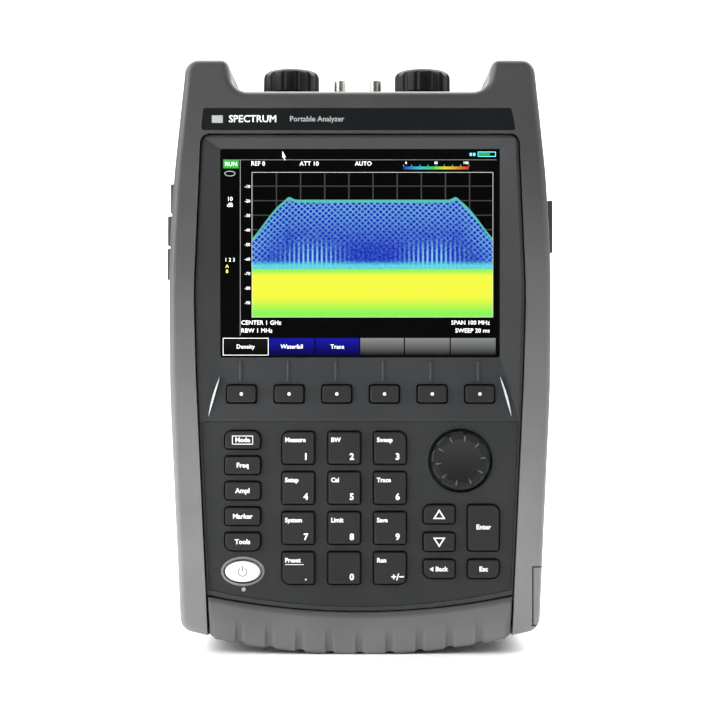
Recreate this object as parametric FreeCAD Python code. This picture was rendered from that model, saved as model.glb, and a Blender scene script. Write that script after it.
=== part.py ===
"""Handheld spectrum analyzer, modelled as the assembly it is: casings, panels, keys, knob, covers and boards.

Frame: +Z up, the screen faces -Y, +X is to the right of a person who looks at the screen.
The origin is the middle of the footprint, on the surface that the analyzer stands on. Units are millimetres.
"""
import FreeCAD
import Part
import math
import os

V = FreeCAD.Vector
OUT = "parts"

# ---- overall size -------------------------------------------------------------------------------------
DEPTH = 72.0
FRONT = -DEPTH / 2           # foremost plane: side rails and bumper
BACK = DEPTH / 2             # rearmost plane: the flat back
SPLIT = 0.0                  # parting plane between the front frame and the rear housing
TOP = 283.6                  # top of the two ears
BRIDGE_TOP = 268.5           # top edge between the ears
TAPER = 2.7                  # how much narrower each side is at the front
TAPER_END = -6.0             # the sides reach their full width here
EDGE_ROUND = 3.5             # rounding of the case's front and rear outlines
WALL = 3.5                   # case wall
LIP = 6.0                    # thickness of the frame's front lip
SEAM = 0.4                   # visible gap between fixed pieces

# ---- front panel --------------------------------------------------------------------------------------
PANEL_FACE = -34.2           # front face of the inner panel
PANEL_BACK = -29.5
PANEL_FLANGE = 2.0           # flange behind the frame's lip
PANEL_TOP = 248.2
BASIN_FLOOR = -31.2          # the screen's plane, at the bottom of the sloped bezel
RIM = 1.2                    # width of the panel's outer rim
SCREEN_HALF_W = 67.0
SCREEN_TOP = 241.3
SCREEN_BOTTOM = 141.3
SOFT_ZONE_BOTTOM = 112.0     # lower edge of the slope that carries the softkeys
PLATE_TOP = 110.9            # keypad plate
PLATE_FACE = -33.8
PLATE_BACK = -31.4

# ---- lower edge: three arcs that follow each other ----------------------------------------------------
PLATE_ARC = (22.6, 30.6)     # keypad plate's lower edge: height in the middle, height at the sides
PANEL_ARC = (20.3, 27.9)
BUMPER_ARC = (19.9, 27.4)
BUMPER_LOW = (0.0, 7.2)
BUMPER_HALF_W = 72.0
BUMPER_THICK = 7.6
ARC_HALF_W = 72.0

# ---- keys: size, pocket gap, travel -------------------------------------------------------------------
KEY_GAP = 0.75
KEY_TRAVEL = 1.0
KEY_FACE = -36.0
FLANGE_OVER = 1.3            # how far a key's flange reaches past its face outline
FLANGE_THICK = 1.0
PAD = (15.0, 15.0)           # number keys
BAR = (16.6, 8.2)            # function keys
ARROW = (14.6, 8.6)
SOFT = (13.6, 8.0)
PAD_X = (-29.4, -7.5, 14.3)
PAD_Z = (98.3, 79.2, 60.1, 41.0)
BAR_X = -55.9
BAR_Z = (102.1, 90.0, 77.9, 65.7, 53.6)
ARROW_X = 37.7
ENTER_X = 58.8
SOFT_PITCH = 22.75
SOFT_X0 = 0.3
SOFT_Z = 124.0
SOFT_FACE = -34.9
BOARD_FRONT = -26.8          # keypad board, behind every key
BOARD_THICK = 1.6
BOARD_POST_X = 70.0          # posts that carry the main board
BOARD_POSTS_Z = (62.0, 150.0, 240.0)
BOARD_BACK = 5.6             # rear face of the main board

KNOB_X = 47.9
KNOB_Z = 92.2
KNOB_R = 14.1
KNOB_POCKET_R = 15.2
SHAFT_R = 3.0

# ---- connectors between the ears ----------------------------------------------------------------------
PLATE_Z = 262.0              # top face of the connector plate
RF_X = (-34.1, 31.0)
SMA_X = (-9.8, 7.4)
SMA_R = 3.175                # quarter-inch thread
SMA_TOP = 279.0
RF_R = 8.0
RF_TOP = 281.0
CAP_R = 13.9
CAP_BOTTOM = 272.6
CAP_TOP = 283.6

# ---- side covers, battery door and stand --------------------------------------------------------------
COVER_OUT = 95.2             # outermost face of the side covers
COVER_Y = (-8.0, 12.0)
LEFT_COVERS = {"port_cover_upper": (212.4, 227.0, 93.6),
               "port_cover_middle": (196.4, 211.2, 95.0),
               "port_cover_lower": (179.6, 195.2, COVER_OUT)}
RIGHT_COVER = (193.0, 219.0, COVER_OUT)
DOOR_Y = (-40.0, 19.2)       # the door wraps round the front corner
DOOR_Z = (14.0, 41.4)
DOOR_INNER = 82.6
DOOR_WALL = 3.2
DOOR_PIN = (88.5, 20.8)      # x and y of the door's hinge pin
DOOR_GAP = 0.6
DOOR_PIN_R = 0.9
DOOR_BARREL_R = 1.6
STAND_HALF_W = 52.0
STAND_PIVOT = (32.9, 150.0)  # y and z of the stand's axis
STAND_BOTTOM = 52.0
STAND_THICK = 4.6
STAND_PIN_R = 1.5
RUNNING = 0.05               # radial clearance round a hinge pin
BATTERY = ((-58.0, 81.8), (-20.0, 15.0), (14.6, 38.8))
SHELF = 1.7                  # thickness of the battery bay's shelves


# ---- small tools --------------------------------------------------------------------------------------
def box(x, y, z):
    """A block from three (low, high) pairs."""
    return Part.makeBox(x[1] - x[0], y[1] - y[0], z[1] - z[0], V(x[0], y[0], z[0]))


def rod(x, y, z, radius, length, direction):
    return Part.makeCylinder(radius, length, V(x, y, z), V(*direction))


def rounded_wire(corners, y):
    """A closed wire in the plane at y through (x, z, radius) corners, with a tangent arc at each corner."""
    edges = []
    count = len(corners)
    starts, ends, mids = [], [], []
    for i, (x, z, radius) in enumerate(corners):
        here = V(x, y, z)
        back = (V(corners[i - 1][0], y, corners[i - 1][1]) - here)
        ahead = (V(corners[(i + 1) % count][0], y, corners[(i + 1) % count][1]) - here)
        back.normalize()
        ahead.normalize()
        half = math.acos(max(-1.0, min(1.0, back.dot(ahead)))) / 2
        if radius <= 0 or abs(half - math.pi / 2) < 1e-6:
            starts.append(here)
            ends.append(here)
            mids.append(None)
            continue
        reach = radius / math.tan(half)
        centre_way = back + ahead
        centre_way.normalize()
        starts.append(here + back * reach)
        ends.append(here + ahead * reach)
        mids.append(here + centre_way * (radius / math.sin(half) - radius))
    for i in range(count):
        if mids[i] is not None:
            edges.append(Part.Arc(starts[i], mids[i], ends[i]).toShape())
        following = starts[(i + 1) % count]
        if (following - ends[i]).Length > 1e-6:
            edges.append(Part.LineSegment(ends[i], following).toShape())
    return Part.Wire(edges)


def slab(wire, thickness):
    """A solid from a closed wire, pushed along +Y."""
    return Part.Face(wire).extrude(V(0, thickness, 0))


def slab_between(corners, y0, y1):
    return slab(rounded_wire(corners, y0), y1 - y0)


def mirrored(right):
    """Right-hand corners, bottom to top, joined with their mirror images."""
    return list(right) + [(-x, z, r) for x, z, r in reversed(right)]


def rounded_block(x, z, w, h, y0, y1, radii):
    """A block seen from the front as a rectangle with its own radius at each corner: top left, top right,
    bottom right, bottom left."""
    tl, tr, br, bl = radii
    corners = [(x - w / 2, z - h / 2, bl), (x + w / 2, z - h / 2, br),
               (x + w / 2, z + h / 2, tr), (x - w / 2, z + h / 2, tl)]
    return slab_between(corners, y0, y1)


def edges_in_plane(shape, y, tolerance=0.01):
    """Edges of a shape that lie wholly in the plane at y."""
    found = []
    for edge in shape.Edges:
        bound = edge.BoundBox
        if abs(bound.YMin - y) < tolerance and abs(bound.YMax - y) < tolerance:
            found.append(edge)
    return found


def soften(shape, y, radius):
    """Rounds the outline of a shape in the plane at y."""
    return shape.makeFillet(radius, edges_in_plane(shape, y))


def lower_arc(heights, half_w, y):
    """The three-point arc of a lower edge: its middle height and its height at x = +-half_w."""
    middle, side = heights
    return Part.Arc(V(-half_w, y, side), V(0, y, middle), V(half_w, y, side)).toShape()


def above_arc(heights, y0, y1, top=400.0, half_w=ARC_HALF_W, reach=30.0):
    """Everything above a lower arc, as a cutting block."""
    arc = lower_arc(heights, half_w, y0)
    side = heights[1]
    outer = [V(half_w, y0, side), V(half_w + reach, y0, side + 0.22 * reach), V(half_w + reach, y0, top),
             V(-half_w - reach, y0, top), V(-half_w - reach, y0, side + 0.22 * reach), V(-half_w, y0, side)]
    edges = [arc] + [Part.LineSegment(a, b).toShape() for a, b in zip(outer, outer[1:])]
    return slab(Part.Wire(edges), y1 - y0)


# ---- outlines -----------------------------------------------------------------------------------------
def case_corners(inset=0.0, narrow=0.0):
    """Outline of the case seen from the front. narrow draws the sides in."""
    right = [(72.6, 8.6 + inset, 1.0), (88.2 - inset - narrow, 11.5 + inset, 7.0),
             (93.3 - inset - narrow, 125.0, 500.0), (93.6 - inset - narrow, 186.0, 500.0),
             (91.2 - inset - narrow, 229.0, 300.0), (85.4 - inset - narrow, TOP - inset, 6.5),
             (63.2 + inset, TOP - inset, 4.0), (60.2 + inset, BRIDGE_TOP - inset, 8.0)]
    return mirrored(right)


def opening_corners(inset=0.0, bottom=-5.0):
    """Outline of the frame's front opening, which the inner panel fills."""
    right = [(72.0 - inset, bottom, 0.0), (78.2 - inset, 130.0, 400.0), (79.4 - inset, 172.0, 300.0),
             (76.0 - inset, PANEL_TOP - inset, 4.5)]
    return mirrored(right)


def cavity_corners():
    """Outline of the space inside the case."""
    right = [(82.0, 12.6, 3.0), (87.0, 125.0, 400.0), (87.3, 184.0, 400.0), (81.0, 258.0, 3.0)]
    return mirrored(right)


# ---- casings ------------------------------------------------------------------------------------------
def door_space(extra):
    """The battery door's block, grown by a clearance."""
    return box((DOOR_INNER - extra, 100.0), (DOOR_Y[0] - extra, DOOR_Y[1] + extra),
               (DOOR_Z[0] - extra, DOOR_Z[1] + extra))


def cover_space(low, high, out, side, extra=0.0, sunk=2.2):
    """A side cover's block: side is -1 for the left and +1 for the right."""
    x = sorted((side * (out - sunk - extra), side * (out + 5.0 if extra else out)))
    return box(x, (COVER_Y[0] - extra, COVER_Y[1] + extra), (low - extra, high + extra))


def case_envelope():
    wires = [rounded_wire(case_corners(narrow=TAPER), FRONT), rounded_wire(case_corners(), TAPER_END)]
    full = Part.makeLoft(wires, True, True).fuse(slab_between(case_corners(), TAPER_END, BACK)).removeSplitter()
    full = soften(full, FRONT, EDGE_ROUND)
    return soften(full, BACK, EDGE_ROUND)


def cut_side_features(shell):
    """Pockets that both halves of the case share: door, side covers, hinge barrels and jack holes."""
    shell = shell.cut(door_space(DOOR_GAP))
    shell = shell.cut(box((78.0, 90.0), (BATTERY[1][0] - 1, BATTERY[1][1] + 1), (BATTERY[2][0] - 0.2, BATTERY[2][1] + 0.2)))
    for low, high, out in LEFT_COVERS.values():
        shell = shell.cut(cover_space(low, high, out, -1, extra=0.3))
        shell = shell.cut(box((-100.0, -80.0), (-3.0, 8.0), (low + 2.6, high - 2.6)))
    low, high, out = RIGHT_COVER
    shell = shell.cut(cover_space(low, high, out, 1, extra=0.3))
    for x in RF_X:
        shell = shell.cut(rod(x, 0, PLATE_Z - 12.0, RF_R - 0.6, 12.0, (0, 0, 1)))
    for x in SMA_X:
        shell = shell.cut(rod(x, 0, PLATE_Z - 12.0, SMA_R, 12.0, (0, 0, 1)))
    return shell.cut(box((80.0, 100.0), (-3.0, 8.0), (low + 2.6, high - 2.6)))


def connector_well(y0, y1):
    """The trough between the ears that holds the connector plate."""
    return box((-56.0, 56.0), (y0, y1), (PLATE_Z - 3.0, TOP))


def outer_frame(envelope):
    """Front half of the case: both ears, the bridge, the side rails and their walls, in one moulding."""
    shell = envelope.common(box((-120, 120), (FRONT, SPLIT - SEAM / 2), (-5, 320)))
    shell = shell.cut(slab_between(opening_corners(), FRONT - 1, FRONT + LIP + 2.0))
    shell = shell.cut(slab_between(cavity_corners(), FRONT + LIP, SPLIT + 1))
    shell = shell.cut(connector_well(FRONT + LIP, SPLIT + 1))
    shell = shell.cut(nameplate_block(0.2, 1.0))
    return cut_side_features(shell)


def stand_pocket():
    """Recess in the back that the stand folds into, with finger room below it."""
    pivot_y, pivot_z = STAND_PIVOT
    pocket = box((-STAND_HALF_W - 0.6, STAND_HALF_W + 0.6), (pivot_y - 2.9, BACK + 1),
                 (STAND_BOTTOM - 0.8, pivot_z + 3.4))
    finger = box((-14.0, 14.0), (pivot_y - 2.9, BACK + 1), (STAND_BOTTOM - 10.0, STAND_BOTTOM))
    return pocket.fuse(finger)


def screw_places():
    """The rear housing's screws: x, z."""
    return [(s * x, z) for s in (-1, 1) for x, z in ((79.0, 48.0), (82.0, 100.0), (82.0, 172.0), (74.0, 270.0))]


def rear_housing(envelope):
    """Rear half of the case, with the stand's recess, the battery bay's walls and the screw bosses."""
    half = envelope.common(box((-120, 120), (SPLIT + SEAM / 2, BACK), (-5, 320)))
    shell = half.cut(slab_between(cavity_corners(), SPLIT - 1, BACK - WALL))
    shell = shell.cut(connector_well(SPLIT - 1, BACK - 5.0))
    pivot_y, pivot_z = STAND_PIVOT
    tray = box((-STAND_HALF_W - 3, STAND_HALF_W + 3), (pivot_y - 5.4, BACK - WALL),
               (STAND_BOTTOM - 12.8, pivot_z + 6))
    shell = shell.fuse(tray).cut(stand_pocket())
    for x, z in screw_places():
        shell = shell.fuse(rod(x, SPLIT + 6.0, z, 3.6, BACK - WALL - 6.0 + 0.5, (0, 1, 0)).common(half))
        shell = shell.cut(rod(x, SPLIT + 2.0, z, 1.3, 40.0, (0, 1, 0)))
        shell = shell.cut(rod(x, BACK - 3.2, z, 3.1, 10.0, (0, 1, 0)))
    for side in (-1, 1):
        x = side * STAND_HALF_W - (0 if side > 0 else 3.0)
        shell = shell.cut(rod(x, pivot_y, pivot_z, STAND_PIN_R, 3.0, (1, 0, 0)))
    back = BACK - WALL + 0.2
    (bay_x, bay_end), bay_y, (bay_low, bay_high) = BATTERY
    for low, high in ((bay_low - 2.1, bay_low - 0.2), (bay_high + 0.2, bay_high + 0.2 + SHELF)):
        shell = shell.fuse(box((bay_x - 2.4, bay_end - 4.0), (SPLIT + SEAM, back), (low, high)))
    shell = shell.fuse(box((bay_x - 2.4, bay_x - 0.4), (SPLIT + SEAM, back), (bay_low - 2.1, bay_high + SHELF)))
    for side in (-1, 1):
        for z in BOARD_POSTS_Z:
            shell = shell.fuse(rod(side * BOARD_POST_X, BOARD_BACK, z, 3.0, back - BOARD_BACK, (0, 1, 0)))
    shell = cut_side_features(shell)
    barrel_x, barrel_y = DOOR_PIN
    for z0, z1 in ((15.0, 20.6), (32.8, 38.4)):
        shell = shell.fuse(rod(barrel_x, barrel_y, z0, DOOR_BARREL_R, z1 - z0, (0, 0, 1)))
    shell = shell.cut(rod(barrel_x, barrel_y, 14.0, DOOR_PIN_R, 26.0, (0, 0, 1)))
    return shell.cut(rod(barrel_x, barrel_y, 20.6, DOOR_BARREL_R + 0.5, 12.2, (0, 0, 1)))


def case_seal():
    """Rubber cord pressed between the two halves of the case, just inside the wall."""
    ring = slab_between(cavity_corners(), SPLIT - 1.6, SPLIT + 1.6)
    inner = [(x - 1.8 if x > 0 else x + 1.8, z + (1.8 if z < 100 else -1.8), r) for x, z, r in cavity_corners()]
    ring = ring.cut(slab_between(inner, SPLIT - 2, SPLIT + 2))
    clear = rod(0, 0, 0, 0.1, 0.1, (0, 0, 1))
    for low, high, out in LEFT_COVERS.values():
        clear = clear.fuse(box((-100.0, -80.0), (-4.0, 9.0), (low + 1.6, high - 1.6)))
    clear = clear.fuse(box((80.0, 100.0), (-4.0, 9.0), (RIGHT_COVER[0] + 1.6, RIGHT_COVER[1] - 1.6)))
    clear = clear.fuse(box((80.0, 100.0), (-4.0, 9.0), (8.0, DOOR_Z[1] + 2)))
    clear = clear.fuse(box((-46.0, 43.0), (-4.0, 4.0), (PLATE_Z - 10.0, PLATE_Z)))
    clear = clear.fuse(box((BATTERY[0][0] - 3, 90.0), (-4.0, 4.0), (8.0, 16.0)))
    return ring.cut(clear)


def nameplate_block(extra, depth):
    """Tapered strip above the screen."""
    corners = [(-75.4 - extra, 249.4 - extra + 0.4, 1.2), (73.9 + extra, 249.8 - extra, 1.2),
               (71.9 + extra, 259.9 + extra, 1.2), (-74.4 - extra, 259.9 + extra, 1.2)]
    return slab_between(corners, FRONT - (1 if extra else 0), FRONT + depth)


def nameplate():
    plate = nameplate_block(0.0, 0.9)
    return plate


# ---- inner panel --------------------------------------------------------------------------------------
def basin():
    """The sloped bezel: a ruled hollow from the rim down to the screen, with the softkeys' slope below."""
    rim = [(-75.6, SOFT_ZONE_BOTTOM), (75.6, SOFT_ZONE_BOTTOM), (77.0, 176.0), (74.0, 246.2),
           (-74.0, 246.2), (-77.0, 176.0)]
    floor = [(-SCREEN_HALF_W, SCREEN_BOTTOM), (SCREEN_HALF_W, SCREEN_BOTTOM), (SCREEN_HALF_W, 190.0),
             (SCREEN_HALF_W, SCREEN_TOP), (-SCREEN_HALF_W, SCREEN_TOP), (-SCREEN_HALF_W, 190.0)]
    wires = []
    for points, y in ((rim, PANEL_FACE - 0.002), (floor, BASIN_FLOOR)):
        ring = [V(x, y, z) for x, z in points]
        wires.append(Part.makePolygon(ring + ring[:1]))
    return Part.makeLoft(wires, True, True)


def slope_y(z):
    """Depth of the softkeys' slope at a height."""
    share = (SCREEN_BOTTOM - z) / (SCREEN_BOTTOM - SOFT_ZONE_BOTTOM)
    return BASIN_FLOOR + share * (PANEL_FACE - BASIN_FLOOR)


def soft_x(i):
    return SOFT_X0 + (i - 2.5) * SOFT_PITCH


def front_panel():
    """Inner panel: rim, sloped bezel, softkey slope with its six ribs, and the keypad plate's seat."""
    y0, y1 = PANEL_FACE, PANEL_BACK
    body = slab_between(opening_corners(0.5), y0, y1)
    body = body.common(above_arc(PANEL_ARC, y0 - 1, y1 + 1))
    body = soften(body, y0, 0.5)
    flange = slab_between(opening_corners(-2.6, 24.0), y1, y1 + PANEL_FLANGE)
    flange = flange.common(above_arc((22.0, 29.5), y1 - 1, y1 + 5))
    body = body.fuse(flange)
    body = body.cut(basin())
    body = body.cut(box((-SCREEN_HALF_W, SCREEN_HALF_W), (BASIN_FLOOR - 1, y1 + 5), (SCREEN_BOTTOM, SCREEN_TOP)))
    body = body.cut(box((-70.5, 70.5), (y1 - 0.8, y1 + 5), (SCREEN_BOTTOM - 4, SCREEN_TOP + 3.4)))
    body = body.cut(plate_block(0.15, PLATE_FACE - 1, PLATE_BACK))
    opening = slab_between(opening_corners(5.0, 20.0), PLATE_BACK - 1, y1 + 5)
    opening = opening.common(above_arc((26.6, 34.6), y0, y1 + 6, top=PLATE_TOP - 3.4))
    body = body.cut(opening)
    for i in range(6):
        w, h = SOFT
        body = body.cut(rounded_block(soft_x(i), SOFT_Z, w + 2 * KEY_GAP, h + 2 * KEY_GAP, y0 - 3, y1 + 5, (1.6,) * 4))
        body = body.cut(rounded_block(soft_x(i), SOFT_Z, w + 4.0, h + 4.0, y1, y1 + 5, (1.6,) * 4))
        low, high = 130.2, 139.4
        start = V(soft_x(i) - 0.4, slope_y(low) + 0.35, low)
        along = V(0, slope_y(high) - slope_y(low), high - low)
        body = body.fuse(Part.makeCylinder(0.95, along.Length, start, along))
    for x, z in board_bosses():
        body = body.fuse(rod(x, y1 - 0.4, z, 2.0, BOARD_FRONT - y1 + 0.4, (0, 1, 0)))
    return body


def board_bosses():
    """Places of the bosses that carry the keypad board: x, z."""
    upper = [(SOFT_X0 + side * 2 * SOFT_PITCH, 112.4) for side in (-1, 0, 1)]
    return upper + [(-60.0, 29.6), (60.0, 29.6)]


def plate_block(extra, y0, y1):
    """The keypad plate's outline as a block, grown by a clearance."""
    margin = 0.5 + RIM - extra
    top = PLATE_TOP + extra
    right = [(78.2 - margin - (130.0 - 15.0) * 0.0459, 15.0, 0.0), (78.2 - margin - (130.0 - top) * 0.0459, top, 1.6)]
    arc = (PLATE_ARC[0] - extra, PLATE_ARC[1] - extra)
    return slab_between(mirrored(right), y0, y1).common(above_arc(arc, y0 - 1, y1 + 1))


def keypad_plate(keys):
    """Dark plate that frames the keys, with a pocket for each key, the knob and the power lamp."""
    plate = plate_block(0.0, PLATE_FACE, PLATE_BACK)
    for key in keys:
        if key["face"] == KEY_FACE:
            plate = plate.cut(key_prism(key, KEY_GAP, PLATE_FACE - 1, PLATE_BACK + 1))
    plate = plate.cut(rod(KNOB_X, PLATE_FACE - 1, KNOB_Z, KNOB_POCKET_R, 5.0, (0, 1, 0)))
    lip = Part.makeTorus(KNOB_POCKET_R + 0.6, 0.45, V(KNOB_X, PLATE_FACE, KNOB_Z), V(0, 1, 0))
    return plate.fuse(lip)


def display_glass():
    return rounded_block(0, (SCREEN_TOP + SCREEN_BOTTOM) / 2, 2 * SCREEN_HALF_W - 0.3,
                         SCREEN_TOP - SCREEN_BOTTOM - 0.3, BASIN_FLOOR, BASIN_FLOOR + 1.1, (0.8,) * 4)


def lcd_module():
    """Screen panel and its backlight frame, held behind the glass."""
    frame = box((-70.2, 70.2), (BASIN_FLOOR + 1.2, BASIN_FLOOR + 6.0), (SCREEN_BOTTOM - 3.6, SCREEN_TOP + 3.0))
    return frame


def accent_trims():
    """Two slim bright crescents, one at each end of the softkey row."""
    trims = []
    for side in (-1, 1):
        low, high = V(side * 72.3, 0, 113.2), V(side * 66.9, 0, 132.2)
        middle = (low + high) * 0.5
        outer = Part.Arc(low, middle + V(side * 0.75, 0, 0.2), high).toShape()
        inner = Part.Arc(high, middle - V(side * 0.15, 0, 0.05), low).toShape()
        face = Part.Face(Part.Wire([outer, inner]))
        face.translate(V(0, PANEL_FACE - 0.1, 0))
        trims.append(face.extrude(V(0, 2.2, 0)))
    return trims


def seat_trims(panel, trims):
    """Cuts the crescents' seats into the panel, with nothing left between."""
    for trim in trims:
        panel = panel.cut(trim)
    return panel


# ---- keys ---------------------------------------------------------------------------------------------
def key_list():
    """Every key: its node name, place, size, corner radii and face depth."""
    keys = []

    def add(name, x, z, size, radii=(1.3,) * 4, face=KEY_FACE):
        keys.append({"name": "key_" + name, "x": x, "z": z, "size": size, "radii": radii, "face": face})

    for i in range(6):
        add("soft_%d" % (i + 1), soft_x(i), SOFT_Z, SOFT, face=SOFT_FACE)
    wide, small = 3.4, 1.3
    bar_names = ("mode", "frequency", "amplitude", "marker", "tools")
    for name, z in zip(bar_names, BAR_Z):
        radii = {"mode": (wide, wide, small, small), "tools": (small, small, wide, wide)}.get(name, (small,) * 4)
        add(name, BAR_X, z, BAR, radii)
    pad_names = (("1", "2", "3"), ("4", "5", "6"), ("7", "8", "9"), ("point", "0", "sign"))
    outer = {"1": (wide, 1, 1, 1), "3": (1, wide, 1, 1), "point": (1, 1, 1, wide), "sign": (1, 1, wide, 1)}
    for row, z in zip(pad_names, PAD_Z):
        for name, x in zip(row, PAD_X):
            add(name, x, z, PAD, outer.get(name, (1.0,) * 4))
    add("up", ARROW_X, 66.7, ARROW, (wide, small, small, small))
    add("down", ARROW_X, 53.5, ARROW)
    add("back", ARROW_X, 40.6, ARROW, (small, small, small, wide))
    add("enter", ENTER_X, 60.2, (14.6, 21.6), (small, wide, small, small))
    add("escape", ENTER_X, 40.6, ARROW, (small, small, wide, small))
    add("power", BAR_X, 39.4, (16.6, 9.8), None)
    return keys


def key_prism(key, grow, y0, y1):
    """A key's outline, grown all round, as a block. The power key is an ellipse."""
    w, h = key["size"]
    if key["radii"] is None:
        ellipse = Part.Ellipse(V(0, 0, 0), w / 2 + grow, h / 2 + grow).toShape()
        wire = Part.Wire([ellipse])
        wire.rotate(V(0, 0, 0), V(1, 0, 0), 90)
        wire.translate(V(key["x"], y0, key["z"]))
        return slab(wire, y1 - y0)
    radii = tuple(r + grow for r in key["radii"])
    return rounded_block(key["x"], key["z"], w + 2 * grow, h + 2 * grow, y0, y1, radii)


def key_solid(key):
    """One key: its cap with a softened face, its flange behind the plate and the stem over its switch."""
    soft = key["face"] != KEY_FACE
    flange_front = PANEL_BACK + 0.2 if soft else PLATE_BACK + 0.2
    cap = soften(key_prism(key, 0.0, key["face"], flange_front), key["face"], 0.6)
    flange = key_prism(key, FLANGE_OVER, flange_front, flange_front + FLANGE_THICK)
    stem_end = BOARD_FRONT - KEY_TRAVEL - 0.15
    stem = rod(key["x"], flange_front, key["z"], 2.0, stem_end - flange_front, (0, 1, 0))
    return cap.fuse(flange).fuse(stem)


# ---- knob ---------------------------------------------------------------------------------------------
def knob():
    """Fluted control knob, dished in front."""
    face, back = FRONT, PLATE_BACK + 0.2
    body = rod(KNOB_X, face, KNOB_Z, KNOB_R, back - face, (0, 1, 0))
    body = soften(body, face, 1.4)
    dish = Part.makeSphere(60.0, V(KNOB_X, face - 60.0 + 0.9, KNOB_Z))
    body = body.cut(dish)
    flutes = 10
    for i in range(flutes):
        angle = 2 * math.pi * (i + 0.2) / flutes
        x = KNOB_X + (KNOB_R + 1.1) * math.cos(angle)
        z = KNOB_Z + (KNOB_R + 1.1) * math.sin(angle)
        body = body.cut(rod(x, face - 1, z, 2.3, 3.4, (0, 1, 0)))
    return body.cut(rod(KNOB_X, back - 3.0, KNOB_Z, SHAFT_R, 4.0, (0, 1, 0)))


def encoder_shaft():
    start = PLATE_BACK + 0.2 - 3.0
    return rod(KNOB_X, start, KNOB_Z, SHAFT_R, -20.0 - start, (0, 1, 0))


def encoder():
    """Rotary encoder on the keypad board: a can with a bush round its shaft."""
    back = BOARD_FRONT + BOARD_THICK
    can = box((KNOB_X - 8, KNOB_X + 8), (back + 0.1, -15.0), (KNOB_Z - 8, KNOB_Z + 8))
    bush = rod(KNOB_X, -30.4, KNOB_Z, SHAFT_R + 1.5, back + 0.1 + 30.4, (0, 1, 0))
    return can.fuse(bush).cut(rod(KNOB_X, -31, KNOB_Z, SHAFT_R + RUNNING, 11.2, (0, 1, 0)))


# ---- boards and power ---------------------------------------------------------------------------------
def keypad_board(keys):
    """Circuit board behind the keys, with a dome switch under each stem."""
    board = box((-68.0, 69.0), (BOARD_FRONT, BOARD_FRONT + BOARD_THICK), (27.4, 130.0))
    board = board.cut(rod(KNOB_X, BOARD_FRONT - 1, KNOB_Z, SHAFT_R + 1.7, 5.0, (0, 1, 0)))
    for key in keys:
        board = board.fuse(rod(key["x"], BOARD_FRONT - 0.12, key["z"], 2.6, 0.5, (0, 1, 0)))
    return board


def main_board():
    board = box((-75.7, 75.7), (BOARD_BACK - BOARD_THICK, BOARD_BACK), (46.0, 250.0))
    return board


def rf_shield():
    """Screening cans over the radio circuits."""
    cans = [box((-62.0, -4.0), (5.6, 19.0), (166.0, 244.0)), box((0.0, 62.0), (5.6, 19.0), (166.0, 244.0)),
            box((-40.0, 40.0), (5.6, 15.0), (60.0, 120.0))]
    return cans


def battery_pack():
    pack = box(*BATTERY)
    edges = [e for e in pack.Edges if abs(e.Vertexes[0].X - e.Vertexes[1].X) > 50]
    return pack.makeFillet(3.0, edges)


def side_jacks():
    """Power, network and data sockets on a strip behind the side covers."""
    jacks = []
    for low, high, _ in LEFT_COVERS.values():
        shell = box((-89.0, -76.0), (-2.2, 7.2), (low + 3.2, high - 3.2))
        jacks.append(shell.cut(box((-90.0, -82.0), (-1.0, 6.0), (low + 4.4, high - 4.4))))
    low, high, _ = RIGHT_COVER
    middle = (low + high) / 2
    for z0, z1 in ((low + 3.2, middle - 0.6), (middle + 0.6, high - 3.2)):
        shell = box((76.0, 89.0), (-2.2, 7.2), (z0, z1))
        jacks.append(shell.cut(box((82.0, 90.0), (-1.0, 6.0), (z0 + 1.2, z1 - 1.2))))
    return jacks


# ---- connectors ---------------------------------------------------------------------------------------
def connector_plate():
    plate = box((-55.6, 55.6), (FRONT + LIP + 0.4, BACK - 5.4), (PLATE_Z - 2.6, PLATE_Z))
    for x in RF_X:
        plate = plate.cut(rod(x, 0, PLATE_Z - 5, RF_R - 0.8, 10, (0, 0, 1)))
    for x in SMA_X:
        plate = plate.cut(rod(x, 0, PLATE_Z - 5, SMA_R - 0.3, 10, (0, 0, 1)))
    return plate


def hexagon(x, z, across, height):
    points = [V(x + across / math.sqrt(3) * math.cos(math.radians(60 * i)),
                across / math.sqrt(3) * math.sin(math.radians(60 * i)), z) for i in range(6)]
    return Part.Face(Part.makePolygon(points + points[:1])).extrude(V(0, 0, height))


def rf_connectors():
    """The two measuring ports: hexagonal base, threaded barrel and centre socket."""
    ports = []
    for x in RF_X:
        port = hexagon(x, PLATE_Z, 19.0, 10.2)
        port = port.fuse(rod(x, 0, PLATE_Z, RF_R, RF_TOP - PLATE_Z, (0, 0, 1)))
        port = port.cut(rod(x, 0, RF_TOP - 8.0, RF_R - 1.6, 9.0, (0, 0, 1)))
        port = port.fuse(rod(x, 0, RF_TOP - 8.0, 1.6, 6.0, (0, 0, 1)))
        ports.append(port.fuse(rod(x, 0, PLATE_Z - 9.0, RF_R - 1.0, 9.0, (0, 0, 1))))
    return ports


def sma_connectors():
    """Two small coaxial sockets with quarter-inch barrels."""
    sockets = []
    for x in SMA_X:
        socket = hexagon(x, PLATE_Z, 8.0, 2.4)
        socket = socket.fuse(rod(x, 0, PLATE_Z, SMA_R, SMA_TOP - PLATE_Z, (0, 0, 1)))
        socket = socket.cut(rod(x, 0, SMA_TOP - 4.0, 2.2, 5.0, (0, 0, 1)))
        socket = socket.fuse(rod(x, 0, SMA_TOP - 4.0, 0.6, 3.0, (0, 0, 1)))
        sockets.append(socket.fuse(rod(x, 0, PLATE_Z - 7.0, SMA_R - 0.4, 7.0, (0, 0, 1))))
    return sockets


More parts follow.
